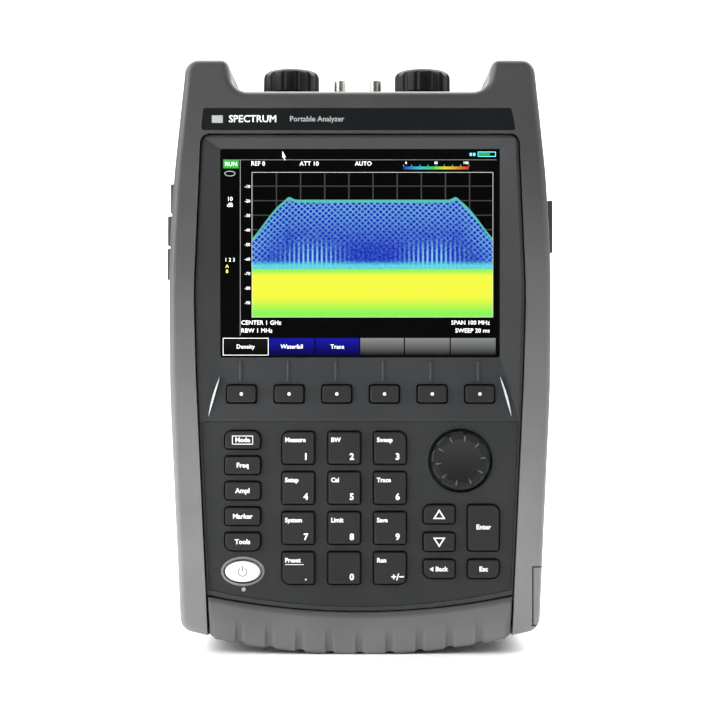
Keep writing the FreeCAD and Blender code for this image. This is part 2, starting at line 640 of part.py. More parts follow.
def dust_cap(x):
    """Fluted cap that covers a measuring port."""
    height = CAP_TOP - CAP_BOTTOM
    cap = rod(x, 0, CAP_BOTTOM, CAP_R, height, (0, 0, 1))
    rim = [e for e in cap.Edges if e.BoundBox.ZMin > CAP_TOP - 0.01]
    cap = cap.makeFillet(3.6, rim)
    flutes = 14
    for i in range(flutes):
        angle = 2 * math.pi * i / flutes
        cx, cy = x + (CAP_R + 1.5) * math.cos(angle), (CAP_R + 1.5) * math.sin(angle)
        cap = cap.cut(rod(cx, cy, CAP_BOTTOM - 1, 2.2, height + 2, (0, 0, 1)))
    return cap.cut(rod(x, 0, CAP_BOTTOM - 1, RF_R + RUNNING, RF_TOP - CAP_BOTTOM + 1.3, (0, 0, 1)))


# ---- covers, door, stand ------------------------------------------------------------------------------
def side_cover(low, high, out, side):
    """Rubber flap over the sockets, hinged at its rear edge."""
    cover = cover_space(low, high, out, side)
    outer = [e for e in cover.Edges if abs(e.BoundBox.XMin - side * out) < 0.01
             and abs(e.BoundBox.XMax - side * out) < 0.01]
    return cover.makeFillet(0.9, outer)


def battery_door(envelope):
    """Door over the battery bay, with its hinge barrel at the rear edge."""
    door = envelope.common(door_space(0.0))
    hollow = box((80.0, 88.2 - DOOR_WALL), (FRONT + DOOR_WALL, DOOR_Y[1] - DOOR_WALL),
                 (DOOR_Z[0] + DOOR_WALL, DOOR_Z[1] - DOOR_WALL))
    door = door.cut(hollow)
    barrel_x, barrel_y = DOOR_PIN
    door = door.fuse(rod(barrel_x, barrel_y, 20.9, DOOR_BARREL_R, 11.6, (0, 0, 1)))
    door = door.fuse(box((barrel_x - 1.0, barrel_x + 0.9), (DOOR_Y[1] - 0.6, barrel_y), (20.9, 32.5)))
    door = door.cut(rod(barrel_x, barrel_y, 10.0, DOOR_PIN_R + RUNNING, 40.0, (0, 0, 1)))
    for z0, z1 in ((DOOR_Z[0] - 1.0, 20.8), (32.6, DOOR_Z[1] + 1.0)):
        door = door.cut(rod(barrel_x, barrel_y, z0, DOOR_BARREL_R + 0.5, z1 - z0, (0, 0, 1)))
    return door


def kickstand():
    """Bail-shaped stand that folds flat into the back."""
    pivot_y, pivot_z = STAND_PIVOT
    y0, y1 = pivot_y - STAND_THICK / 2, pivot_y + STAND_THICK / 2
    plate = rounded_block(0, (STAND_BOTTOM + pivot_z) / 2, 2 * STAND_HALF_W, pivot_z - STAND_BOTTOM,
                          y0, y1, (0, 0, 9.0, 9.0))
    window = rounded_block(0, (STAND_BOTTOM + pivot_z) / 2 + 4.0, 2 * STAND_HALF_W - 36.0, 62.0,
                           y0 - 1, y1 + 1, (7.0,) * 4)
    plate = plate.cut(window)
    plate = plate.fuse(rod(-STAND_HALF_W, pivot_y, pivot_z, STAND_THICK / 2, 2 * STAND_HALF_W, (1, 0, 0)))
    for side in (-1, 1):
        x = side * STAND_HALF_W - (8.0 if side > 0 else 0.0)
        plate = plate.cut(rod(x, pivot_y, pivot_z, STAND_PIN_R + RUNNING, 8.0, (1, 0, 0)))
    return plate


def hinge_pins():
    """Steel pins of the stand and of the battery door."""
    pivot_y, pivot_z = STAND_PIVOT
    pins = [rod(-STAND_HALF_W - 3.0, pivot_y, pivot_z, STAND_PIN_R, 10.0, (1, 0, 0)),
            rod(STAND_HALF_W - 7.0, pivot_y, pivot_z, STAND_PIN_R, 10.0, (1, 0, 0))]
    barrel_x, barrel_y = DOOR_PIN
    pins.append(rod(barrel_x, barrel_y, 15.0, DOOR_PIN_R, 23.4, (0, 0, 1)))
    return pins


def case_screws():
    """Countersunk screws that hold the two halves together."""
    screws = []
    for x, z in screw_places():
        screw = rod(x, BACK - 3.2, z, 2.9, 2.4, (0, 1, 0)).fuse(rod(x, SPLIT + 6.5, z, 1.3, 26.4, (0, 1, 0)))
        slot = box((x - 2.0, x + 2.0), (BACK - 1.9, BACK), (z - 0.35, z + 0.35))
        cross = box((x - 0.35, x + 0.35), (BACK - 1.9, BACK), (z - 2.0, z + 2.0))
        screws.append(screw.cut(slot).cut(cross))
    return screws


# ---- bumper -------------------------------------------------------------------------------------------
def bumper_wall():
    """Front wall of the bumper, between its lower arc and the arc under the panel."""
    y = FRONT
    half, low_z = BUMPER_HALF_W, BUMPER_LOW[1]
    right = [V(half - 3.0, y, low_z), V(half - 0.4, y, 9.6), V(half + 0.7, y, BUMPER_ARC[1])]
    left = [V(-p.x, p.y, p.z) for p in reversed(right)]
    edges = [lower_arc(BUMPER_LOW, half - 3.0, y)]
    edges += [Part.LineSegment(a, b).toShape() for a, b in zip(right, right[1:])]
    edges.append(Part.Arc(right[-1], V(0, y, BUMPER_ARC[0]), left[0]).toShape())
    edges += [Part.LineSegment(a, b).toShape() for a, b in zip(left, left[1:])]
    wall = slab(Part.Wire(edges), BUMPER_THICK)
    return soften(wall, FRONT, 1.6)


def bumper_floor():
    """Floor of the bumper, under the case."""
    y = FRONT + BUMPER_THICK - 0.5
    half, low_z = BUMPER_HALF_W - 3.0, BUMPER_LOW[1]
    top = 8.2
    right = [V(half, y, low_z), V(half + 0.6, y, low_z + 0.4), V(half + 0.6, y, top)]
    left = [V(-p.x, p.y, p.z) for p in reversed(right)]
    ring = right + left
    edges = [lower_arc(BUMPER_LOW, half, y)]
    edges += [Part.LineSegment(a, b).toShape() for a, b in zip(ring, ring[1:])]
    return slab(Part.Wire(edges), BACK - 4.0 - y)


def bottom_bumper():
    """Rubber bumper under the case: front wall, floor with grip notches, and two rear feet."""
    bumper = bumper_wall().fuse(bumper_floor())
    pitch, radius, depth = 14.3, 3.4, 1.4
    for i in range(-4, 5):
        x = i * pitch
        z = BUMPER_LOW[1] * (x / (BUMPER_HALF_W - 3.0)) ** 2 + depth - radius
        bumper = bumper.cut(rod(x, FRONT - 1, z, radius, 19.0, (0, 1, 0)))
    for side in (-1, 1):
        foot = box(sorted((side * 52.0, side * 68.0)), (16.0, 31.0), (0.0, 8.0))
        bumper = bumper.fuse(foot)
    return bumper


# ---- build --------------------------------------------------------------------------------------------
def save(name, shape):
    """Writes one node: a single solid, or a compound of separate solids."""
    solids = []
    for piece in shape if isinstance(shape, list) else [shape]:
        solids += piece.removeSplitter().Solids
    result = solids[0] if len(solids) == 1 else Part.makeCompound(solids)
    if not result.isValid():
        raise RuntimeError("%s is not valid" % name)
    result.exportStep(os.path.join(OUT, name + ".step"))
    print("%-20s solids %d  volume %.0f mm3" % (name, len(solids), sum(s.Volume for s in solids)))


def main():
    os.makedirs(OUT, exist_ok=True)
    keys = key_list()
    envelope = case_envelope()
    trims = accent_trims()
    save("outer_frame", outer_frame(envelope))
    save("rear_housing", rear_housing(envelope))
    save("case_seal", case_seal())
    save("front_panel", seat_trims(front_panel(), trims))
    save("keypad_plate", keypad_plate(keys))
    save("bottom_bumper", bottom_bumper())
    save("nameplate", nameplate())
    save("display_glass", display_glass())
    save("lcd_module", lcd_module())
    save("accent_trims", trims)
    save("knob", knob())
    save("encoder_shaft", encoder_shaft())
    save("encoder", encoder())
    save("keypad_board", keypad_board(keys))
    save("main_board", main_board())
    save("rf_shield", rf_shield())
    save("rf_connectors", rf_connectors())
    save("dust_cap_left", dust_cap(RF_X[0]))
    save("dust_cap_right", dust_cap(RF_X[1]))
    save("sma_connectors", sma_connectors())
    save("connector_plate", connector_plate())
    save("battery_pack", battery_pack())
    save("battery_door", battery_door(envelope))
    save("hinge_pins", hinge_pins())
    save("kickstand", kickstand())
    for name, (low, high, out) in LEFT_COVERS.items():
        save(name, side_cover(low, high, out, -1))
    save("port_cover_right", side_cover(*RIGHT_COVER, 1))
    save("side_jacks", side_jacks())
    save("case_screws", case_screws())
    for key in keys:
        save(key["name"], key_solid(key))


main()
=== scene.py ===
import math
import bpy
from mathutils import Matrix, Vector


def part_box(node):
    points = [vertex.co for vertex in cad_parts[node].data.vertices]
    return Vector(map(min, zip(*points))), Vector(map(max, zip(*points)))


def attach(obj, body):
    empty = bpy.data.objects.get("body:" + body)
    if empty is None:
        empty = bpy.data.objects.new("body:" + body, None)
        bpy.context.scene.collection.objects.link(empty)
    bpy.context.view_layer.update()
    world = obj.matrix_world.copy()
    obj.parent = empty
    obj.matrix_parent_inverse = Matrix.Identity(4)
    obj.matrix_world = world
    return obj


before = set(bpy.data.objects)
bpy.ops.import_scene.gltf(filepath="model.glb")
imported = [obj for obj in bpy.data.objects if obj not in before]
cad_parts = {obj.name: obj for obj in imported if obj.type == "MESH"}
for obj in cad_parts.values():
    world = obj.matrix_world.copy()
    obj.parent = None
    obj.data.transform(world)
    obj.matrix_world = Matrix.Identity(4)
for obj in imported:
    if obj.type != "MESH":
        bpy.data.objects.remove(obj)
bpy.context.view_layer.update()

FACE = -0.036                                  # the keys' front plane
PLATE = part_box("keypad_plate")[0][1]           # the keypad plate's front
GLASS_LOW, GLASS_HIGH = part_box("display_glass")
GLASS_Y = GLASS_LOW[1]
SKIN = 0.00004                                 # how far printed pieces stand off what they lie on
LETTER_SIZE = 1.38                             # the font's size for capitals of height 1
LENS, SENSOR = 78.8, 36.0                      # mm
EYE = (0.0, -0.786, 0.1402)                    # the camera's place
WORLD_LIGHT = 0.16


# ---- materials ------------------------------------------------------------------------------------
class Sum:
    """Arithmetic on shader sockets: each operator adds one Math node."""

    def __init__(self, tree, socket):
        self.tree, self.socket = tree, socket

    def op(self, kind, *others, clamp=False):
        node = self.tree.nodes.new("ShaderNodeMath")
        node.operation = kind
        node.use_clamp = clamp
        for i, item in enumerate((self,) + others):
            if isinstance(item, Sum):
                self.tree.links.new(item.socket, node.inputs[i])
            else:
                node.inputs[i].default_value = item
        return Sum(self.tree, node.outputs[0])

    def __add__(self, other):
        return self.op("ADD", other)

    def __sub__(self, other):
        return self.op("SUBTRACT", other)

    def __mul__(self, other):
        return self.op("MULTIPLY", other)

    def less(self, other):
        return self.op("LESS_THAN", other)

    def ramp(self, low, high):
        node = self.tree.nodes.new("ShaderNodeMapRange")
        node.interpolation_type = "SMOOTHSTEP"
        self.tree.links.new(self.socket, node.inputs[0])
        node.inputs[1].default_value = low
        node.inputs[2].default_value = high
        return Sum(self.tree, node.outputs[0])


def blank(name):
    mat = bpy.data.materials.new(name)
    mat.use_nodes = True
    mat.node_tree.nodes.clear()
    return mat, mat.node_tree


def axis(tree, index):
    """The object's own coordinate along axis 0, 1 or 2."""
    place = tree.nodes.new("ShaderNodeTexCoord")
    split = tree.nodes.new("ShaderNodeSeparateXYZ")
    tree.links.new(place.outputs["Object"], split.inputs[0])
    return Sum(tree, split.outputs[index])


def find(tree, kind):
    """The first node of a kind."""
    return next(n for n in tree.nodes if n.type == kind)


def mixed(tree, factor, a, b):
    """A colour mix node; a and b are colours or sockets."""
    node = tree.nodes.new("ShaderNodeMix")
    node.data_type = "RGBA"
    if isinstance(factor, (int, float)):
        node.inputs[0].default_value = factor
    else:
        tree.links.new(factor, node.inputs[0])
    for item, index in ((a, 6), (b, 7)):
        if isinstance(item, (tuple, list)):
            node.inputs[index].default_value = (*item[:3], 1.0)
        else:
            tree.links.new(item, node.inputs[index])
    return node.outputs[2]


def moulded(name, dark, light, rough, grain=2600.0, depth=0.25, metallic=0.0, coat=0.0, specular=0.2,
            blotch=24.0, wear=0.05, stretch=None):
    """A surface with slow colour drift, fine grain in its height and a roughness that wanders."""
    mat, tree = blank(name)
    nodes, links = tree.nodes, tree.links
    out = nodes.new("ShaderNodeOutputMaterial")
    shader = nodes.new("ShaderNodeBsdfPrincipled")
    links.new(shader.outputs[0], out.inputs[0])
    shader.inputs["Metallic"].default_value = metallic
    shader.inputs["Coat Weight"].default_value = coat
    shader.inputs["Coat Roughness"].default_value = 0.25
    shader.inputs["Specular IOR Level"].default_value = specular
    place = nodes.new("ShaderNodeTexCoord")
    mapping = nodes.new("ShaderNodeMapping")
    links.new(place.outputs["Object"], mapping.inputs[0])
    if stretch:
        mapping.inputs["Scale"].default_value = stretch
    slow = nodes.new("ShaderNodeTexNoise")
    slow.inputs["Scale"].default_value = blotch
    slow.inputs["Detail"].default_value = 3.0
    fine = nodes.new("ShaderNodeTexNoise")
    fine.inputs["Scale"].default_value = grain
    fine.inputs["Detail"].default_value = 2.0
    links.new(mapping.outputs[0], slow.inputs["Vector"])
    links.new(mapping.outputs[0], fine.inputs["Vector"])
    drift = Sum(tree, slow.outputs["Fac"]).ramp(0.3, 0.7)
    links.new(mixed(tree, drift.socket, dark, light), shader.inputs["Base Color"])
    roughness = (Sum(tree, slow.outputs["Fac"]) - 0.5) * wear
    roughness = roughness + (Sum(tree, fine.outputs["Fac"]) - 0.5) * wear + rough
    links.new(roughness.socket, shader.inputs["Roughness"])
    bump = nodes.new("ShaderNodeBump")
    bump.inputs["Strength"].default_value = depth
    bump.inputs["Distance"].default_value = 0.0001
    links.new(fine.outputs["Fac"], bump.inputs["Height"])
    links.new(bump.outputs[0], shader.inputs["Normal"])
    return mat


def threaded(name, dark, light, rough, pitch):
    """Bright metal with fine rings along its height, for screw threads and knurls."""
    mat = moulded(name, dark, light, rough, metallic=1.0, grain=900.0, depth=0.1)
    tree = mat.node_tree
    shader = find(tree, "BSDF_PRINCIPLED")
    bump = find(tree, "BUMP")
    wave = (axis(tree, 2) * (2 * math.pi / pitch)).op("SINE")
    rings = tree.nodes.new("ShaderNodeBump")
    rings.inputs["Strength"].default_value = 0.35
    rings.inputs["Distance"].default_value = 0.00008
    tree.links.new(wave.socket, rings.inputs["Height"])
    tree.links.new(bump.outputs[0], rings.inputs["Normal"])
    tree.links.new(rings.outputs[0], shader.inputs["Normal"])
    return mat


def printed(name, colour, glow=0.0, rough=0.55):
    """Ink or a lit sign: a flat print whose tone varies a little."""
    mat = moulded(name, [c * 0.93 for c in colour], colour, rough, grain=4000.0, depth=0.05)
    if glow:
        tree = mat.node_tree
        shader = find(tree, "BSDF_PRINCIPLED")
        source = shader.inputs["Base Color"].links[0].from_socket
        tree.links.new(source, shader.inputs["Emission Color"])
        shader.inputs["Emission Strength"].default_value = glow
    return mat


M = {
    "grip": moulded("grip_rubber", (0.0986, 0.0986, 0.0994), (0.1144, 0.1144, 0.1153), 0.44,
                    wear=0.10, specular=0.4),
    "rear": moulded("rear_plastic", (0.060, 0.062, 0.063), (0.072, 0.074, 0.075), 0.55, depth=0.45),
    "panel": moulded("panel_plastic", (0.0235, 0.0249, 0.0263), (0.0273, 0.0287, 0.0306), 0.42, depth=0.2),
    "plate": moulded("plate_plastic", (0.0153, 0.0162, 0.0162), (0.0185, 0.0193, 0.0193), 0.55, depth=0.5),
    "bumper": moulded("bumper_rubber", (0.1089, 0.1069, 0.1096), (0.1287, 0.1267, 0.1294), 0.46, wear=0.12),
    "name": moulded("nameplate_film", (0.0035, 0.005, 0.0055), (0.005, 0.0065, 0.007), 0.3, depth=0.1),
    "glass": moulded("screen_glass", (0.0005, 0.0005, 0.0007), (0.001, 0.001, 0.0012), 0.12, depth=0.02,
                     specular=0.15),
    "key": moulded("key_rubber", (0.0101, 0.0105, 0.0105), (0.0126, 0.0130, 0.0130), 0.5,
                   depth=0.4, wear=0.1),
    "knob": moulded("knob_plastic", (0.0068, 0.0072, 0.0072), (0.0095, 0.0099, 0.0099), 0.38, depth=0.3),
    "cap": moulded("cap_rubber", (0.0015, 0.0015, 0.0016), (0.0024, 0.0024, 0.0027), 0.5, depth=0.4),
    "seal": moulded("seal_rubber", (0.004, 0.004, 0.004), (0.008, 0.008, 0.008), 0.7),
    "cover": moulded("cover_rubber", (0.040, 0.041, 0.043), (0.050, 0.051, 0.053), 0.58, depth=0.4),
    "power": moulded("power_rubber", (0.70, 0.70, 0.69), (0.78, 0.78, 0.77), 0.45, depth=0.2),
    "trim": moulded("bright_trim", (0.62, 0.63, 0.64), (0.74, 0.75, 0.76), 0.28, metallic=0.4),
    "steel": moulded("brushed_steel", (0.42, 0.42, 0.42), (0.58, 0.58, 0.57), 0.32, metallic=1.0,
                     grain=700.0, stretch=(1, 1, 14)),
    "nickel": threaded("threaded_nickel", (0.36, 0.36, 0.35), (0.52, 0.52, 0.50), 0.3, 0.0007),
    "sma": threaded("threaded_coax", (0.38, 0.37, 0.34), (0.54, 0.53, 0.49), 0.3, 0.0007),
    "deck": moulded("deck_paint", (0.022, 0.022, 0.024), (0.030, 0.030, 0.032), 0.5),
    "board": moulded("board_mask", (0.010, 0.075, 0.035), (0.016, 0.11, 0.05), 0.35,
                     grain=500.0, blotch=160.0),
    "can": moulded("tinned_can", (0.45, 0.46, 0.46), (0.60, 0.60, 0.59), 0.34, metallic=1.0),
    "lcd": moulded("screen_frame", (0.35, 0.36, 0.37), (0.48, 0.49, 0.50), 0.4, metallic=1.0),
    "cell": moulded("battery_wrap", (0.012, 0.012, 0.014), (0.020, 0.020, 0.022), 0.42),
    "stand": moulded("stand_plastic", (0.030, 0.031, 0.033), (0.038, 0.039, 0.041), 0.5, depth=0.5),
    "ink": printed("white_ink", (0.80, 0.80, 0.79)),
    "grey_ink": printed("grey_ink", (0.30, 0.31, 0.31)),
    "dim_ink": printed("plate_ink", (0.16, 0.17, 0.17)),
    "notch_ink": printed("notch_ink", (0.085, 0.087, 0.087)),
    "dark_ink": printed("dark_ink", (0.07, 0.07, 0.075)),
    "black_steel": moulded("black_steel", (0.06, 0.06, 0.062), (0.10, 0.10, 0.10), 0.38,
                           metallic=1.0, grain=900.0),
    "lit": printed("lit_white", (0.85, 0.87, 0.85), glow=0.9),
    "lit_dim": printed("lit_grey", (0.30, 0.32, 0.30), glow=0.7),
    "lit_line": printed("lit_line", (0.16, 0.17, 0.17), glow=0.6),
    "lit_green": printed("lit_green", (0.01, 0.20, 0.02), glow=0.8),
    "lit_yellow": printed("lit_yellow", (0.85, 0.78, 0.10), glow=0.9),
    "lit_cyan": printed("lit_cyan", (0.10, 0.62, 0.72), glow=0.9),
}


def painted_light_by_height(mat, low, high, dark, light):
    """Painted light: the skin's colour is painted from shade at the top to light at the bottom, standing in
    for light thrown up from the floor.
    """
    tree = mat.node_tree
    shader = find(tree, "BSDF_PRINCIPLED")
    source = shader.inputs["Base Color"].links[0].from_socket
    share = axis(tree, 2).ramp(low, high)
    tone = mixed(tree, share.socket, (light,) * 3, (dark,) * 3)
    node = tree.nodes.new("ShaderNodeMix")
    node.data_type = "RGBA"
    node.blend_type = "MULTIPLY"
    node.inputs[0].default_value = 1.0
    tree.links.new(source, node.inputs[6])
    tree.links.new(tone, node.inputs[7])
    tree.links.new(node.outputs[2], shader.inputs["Base Color"])


# painted light: the grip is painted darker at the top and lighter at the bottom, for light thrown up from
# the floor
painted_light_by_height(M["grip"], 0.02, 0.262, 0.30, 1.32)


FOOT_RISE, FOOT_HALF = 0.0072, 0.0686          # the bumper's foot line: rise at its half width
SHADE_BAND_RISE, SHADE_BAND_HALF = 0.0075, 0.072           # the same for the painted shade band along its top


def flute(mat, pitch, low, high):
    """Soft upright flutes in the lower part of a moulding, as height, with painted shade in their grooves
    and a painted shade band along the top.
    """
    tree = mat.node_tree
    shader = find(tree, "BSDF_PRINCIPLED")
    grain = find(tree, "BUMP")
    source = shader.inputs["Base Color"].links[0].from_socket
    x, z = axis(tree, 0), axis(tree, 2)
    arc = z - x * x * (FOOT_RISE / FOOT_HALF ** 2)
    wave = ((x * (2 * math.pi / pitch)).op("COSINE") + 1.0) * 0.5
    groove = wave.ramp(0.72, 1.0) * arc.ramp(high, low)
    bump = tree.nodes.new("ShaderNodeBump")
    bump.invert = True
    bump.inputs["Strength"].default_value = 0.8
    bump.inputs["Distance"].default_value = 0.0012
    tree.links.new(groove.socket, bump.inputs["Height"])
    tree.links.new(grain.outputs[0], bump.inputs["Normal"])
    tree.links.new(bump.outputs[0], shader.inputs["Normal"])
    top = z - x * x * (SHADE_BAND_RISE / SHADE_BAND_HALF ** 2)
    # painted shade: the colour is darkened in the flute grooves and in a band along the bumper's top
    shade = (groove * 0.45).op("MAXIMUM", top.ramp(0.0165, 0.0185) * 0.62)
    tree.links.new(mixed(tree, shade.socket, source, (0.05, 0.05, 0.05)), shader.inputs["Base Color"])


flute(M["bumper"], 0.0143, 0.001, 0.014)
# painted light: the bumper is painted darker at the top and lighter at the bottom
painted_light_by_height(M["bumper"], 0.002, 0.026, 0.72, 1.12)

KEYS = [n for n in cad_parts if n.startswith("key_")]
LOOKS = {
    "outer_frame": "grip", "rear_housing": "rear", "case_seal": "seal", "front_panel": "panel",
    "keypad_plate": "plate", "bottom_bumper": "bumper", "nameplate": "name", "display_glass": "glass",
    "lcd_module": "lcd", "accent_trims": "trim", "knob": "knob", "encoder_shaft": "steel", "encoder": "can",
    "keypad_board": "board", "main_board": "board", "rf_shield": "can", "rf_connectors": "nickel",
    "dust_cap_left": "cap", "dust_cap_right": "cap", "sma_connectors": "sma", "connector_plate": "deck",
    "battery_pack": "cell", "battery_door": "grip", "hinge_pins": "steel", "kickstand": "stand",
    "port_cover_upper": "cover", "port_cover_middle": "cover", "port_cover_lower": "cover",
    "port_cover_right": "cover", "side_jacks": "can", "case_screws": "black_steel", "key_power": "power",
}
for node in KEYS:
    LOOKS.setdefault(node, "key")
for node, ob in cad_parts.items():
    ob.data.materials.clear()
    ob.data.materials.append(M[LOOKS[node]])


# ---- pieces ---------------------------------------------------------------------------------------
def piece(name, verts, faces, look, body, smooth=False):
    mesh = bpy.data.meshes.new(name)
    mesh.from_pydata([Vector(v) for v in verts], [], faces)
    mesh.update()
    mesh.materials.append(look if not isinstance(look, str) else M[look])
    ob = bpy.data.objects.new(name, mesh)
    bpy.context.scene.collection.objects.link(ob)
    for poly in mesh.polygons:
        poly.use_smooth = smooth
    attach(ob, body)
    return ob


class Sheet:
    """Flat artwork facing -Y, gathered into one mesh: letters, lines, rings and filled shapes."""

    def __init__(self, y):
        self.y, self.verts, self.faces = y, [], []

    def add(self, points, faces):
        start = len(self.verts)
        self.verts += [(x, self.y, z) for x, z in points]
        self.faces += [[start + i for i in face] for face in faces]

    def fill(self, points):
        self.add(points, [list(range(len(points)))])

    def rect(self, x0, z0, x1, z1):
        self.fill([(x0, z0), (x1, z0), (x1, z1), (x0, z1)])

    def band(self, outer, inner):
        count = len(outer)
        ring = [[i, (i + 1) % count, count + (i + 1) % count, count + i] for i in range(count)]
        self.add(list(outer) + list(inner), ring)

    def frame(self, x0, z0, x1, z1, w):
        self.band([(x0, z0), (x1, z0), (x1, z1), (x0, z1)],
                  [(x0 + w, z0 + w), (x1 - w, z0 + w), (x1 - w, z1 - w), (x0 + w, z1 - w)])

    def oval(self, x, z, rx, rz, w=None, count=40):
        turn = [2 * math.pi * i / count for i in range(count)]
        outer = [(x + rx * math.cos(a), z + rz * math.sin(a)) for a in turn]
        if w is None:
            self.fill(outer)
        else:
            self.band(outer, [(x + (rx - w) * math.cos(a), z + (rz - w) * math.sin(a)) for a in turn])

    def arc(self, x, z, r, w, a0, a1, count=20):
        turn = [math.radians(a0 + (a1 - a0) * i / count) for i in range(count + 1)]
        points = [(x + r * math.cos(a), z + r * math.sin(a)) for a in turn]
        points += [(x + (r - w) * math.cos(a), z + (r - w) * math.sin(a)) for a in turn]
        n = count + 1
        self.add(points, [[i, i + 1, n + i + 1, n + i] for i in range(count)])

    def text(self, words, x, z, height, align="CENTER", bold=0.0, width=1.0, line=1.05):
        curve = bpy.data.curves.new("letters", "FONT")
        curve.body = words
        curve.size = height * LETTER_SIZE
        curve.align_x = align
        curve.align_y = "CENTER"
        curve.offset = bold * height
        curve.resolution_u = 2
        curve.space_line = line
        holder = bpy.data.objects.new("letters", curve)
        bpy.context.scene.collection.objects.link(holder)
        bpy.context.view_layer.update()
        mesh = bpy.data.meshes.new_from_object(holder.evaluated_get(bpy.context.evaluated_depsgraph_get()))
        points = [(x + v.co.x * width, z + v.co.y) for v in mesh.vertices]
        self.add(points, [list(p.vertices) for p in mesh.polygons])
        bpy.data.objects.remove(holder)
        bpy.data.curves.remove(curve)
        bpy.data.meshes.remove(mesh)

    def done(self, name, look, body="case"):
        return piece(name, self.verts, self.faces, look, body)


def middle(node):
    low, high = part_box(node)
    return (low[0] + high[0]) / 2, (low[2] + high[2]) / 2


# ---- key legends ----------------------------------------------------------------------------------
def legend(node, draw):
    x, z = middle(node)
    sheet = Sheet(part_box(node)[0][1] - SKIN)
    draw(sheet, x, z)
    sheet.done("legend_" + node[4:], "ink", node + "_body")


def words(text, height=0.0023, dx=0.0, dz=0.0, **more):
    return lambda s, x, z: s.text(text, x + dx, z + dz, height, bold=0.045, **more)


def boxed(text):
    def draw(s, x, z):
        s.text(text, x, z, 0.0022, bold=0.05)
        s.frame(x - 0.0050, z - 0.0021, x + 0.0050, z + 0.0021, 0.00035)
    return draw


def pad(digit, function, underline=False):
    def draw(s, x, z):
        s.text(function, x - 0.0063, z + 0.0038, 0.00215, align="LEFT", bold=0.05, width=0.96)
        s.text(digit, x + 0.0036, z - 0.0042, 0.0031, bold=0.045)
        if underline:
            s.rect(x - 0.0063, z + 0.0017, x + 0.0026, z + 0.0020)
    return draw


def triangle(way):
    def draw(s, x, z):
        r = 0.0031
        rings = []
        for size in (r, 0.62 * r):
            rings.append([(x + size * math.sin(a) * 1.1, z + way * (size * math.cos(a) - r * 0.2))
                          for a in (0, 2.094, 4.189)])
        outer, inner = rings
        s.band(outer, inner)
    return draw


def arrow_word(s, x, z):
    s.text("Back", x + 0.0011, z, 0.0022, bold=0.05)
    s.fill([(x - 0.0046, z), (x - 0.0028, z - 0.0012), (x - 0.0028, z + 0.0012)])


def power_sign(s, x, z):
    s.arc(x, z, 0.0023, 0.00042, 125, 415)
    s.rect(x - 0.00022, z + 0.0002, x + 0.00022, z + 0.0028)


legend("key_mode", boxed("Mode"))
legend("key_frequency", words("Freq"))
legend("key_amplitude", words("Ampl"))
legend("key_marker", words("Marker"))
legend("key_tools", words("Tools"))
PAD = {"1": "Measure", "2": "BW", "3": "Sweep", "4": "Setup", "5": "Cal", "6": "Trace", "7": "System",
       "8": "Limit", "9": "Save", "point": "Preset", "0": "", "sign": "Run"}
for name, function in PAD.items():
    digit = {"point": ".", "sign": "+/−"}.get(name, name)
    legend("key_" + name, pad(digit, function, name == "point"))
legend("key_up", triangle(1))
legend("key_down", triangle(-1))
legend("key_back", arrow_word)
legend("key_enter", words("Enter", dz=0.0004))
legend("key_escape", words("Esc"))
for i in range(1, 7):
    legend("key_soft_%d" % i, lambda s, x, z: s.oval(x, z, 0.0008, 0.0008, count=16))
sign = Sheet(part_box("key_power")[0][1] - SKIN)
power_sign(sign, *middle("key_power"))
sign.done("legend_power", "dark_ink", "key_power_body")

kx, kz = middle("knob")
notches = Sheet(FACE - SKIN)
for i in range(10):
    turn = 2 * math.pi * (i + 0.2) / 10
    c, d = math.cos(turn), math.sin(turn)
    corners = ((0.0092, 0.00012), (0.0118, 0.00042), (0.0118, -0.00042), (0.0092, -0.00012))
    notches.fill([(kx + r * c - w * d, kz + r * d + w * c) for r, w in reversed(corners)])
notches.done("knob_notches", "notch_ink", "knob_body")

px, pz = middle("key_power")
ring = Sheet(PLATE - SKIN)
ring.oval(px, pz, 0.0104, 0.0070, 0.0011)
ring.done("power_key_ring", "dim_ink")
lamp = Sheet(PLATE - SKIN)
lamp.oval(px + 0.0004, pz - 0.0086, 0.0010, 0.0010, count=20)
lamp.done("power_lamp", "grey_ink")

# ---- nameplate ------------------------------------------------------------------------------------
low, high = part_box("nameplate")
name_z = (low[2] + high[2]) / 2
title = Sheet(low[1] - SKIN)
title.text("SPECTRUM", -0.0625, name_z, 0.0034, align="LEFT", bold=0.02)
title.done("nameplate_title", "ink")
subtitle = Sheet(low[1] - SKIN)
subtitle.text("Portable Analyzer", -0.0335, name_z, 0.0026, align="LEFT", bold=0.02)
subtitle.done("nameplate_subtitle", "grey_ink")
mark = Sheet(low[1] - SKIN)
mark.rect(-0.0705, name_z - 0.0018, -0.0653, name_z + 0.0018)
mark.done("nameplate_mark", "grey_ink")

# ---- screen picture -------------------------------------------------------------------------------
W = GLASS_HIGH[0] - GLASS_LOW[0]
H = GLASS_HIGH[2] - GLASS_LOW[2]


def at(u, v):
    """A place on the screen from shares of its width and height, from the lower left."""
    return GLASS_LOW[0] + u * W, GLASS_LOW[2] + v * H


PLOT_U, PLOT_V = (0.112, 0.977), (0.192, 0.890)


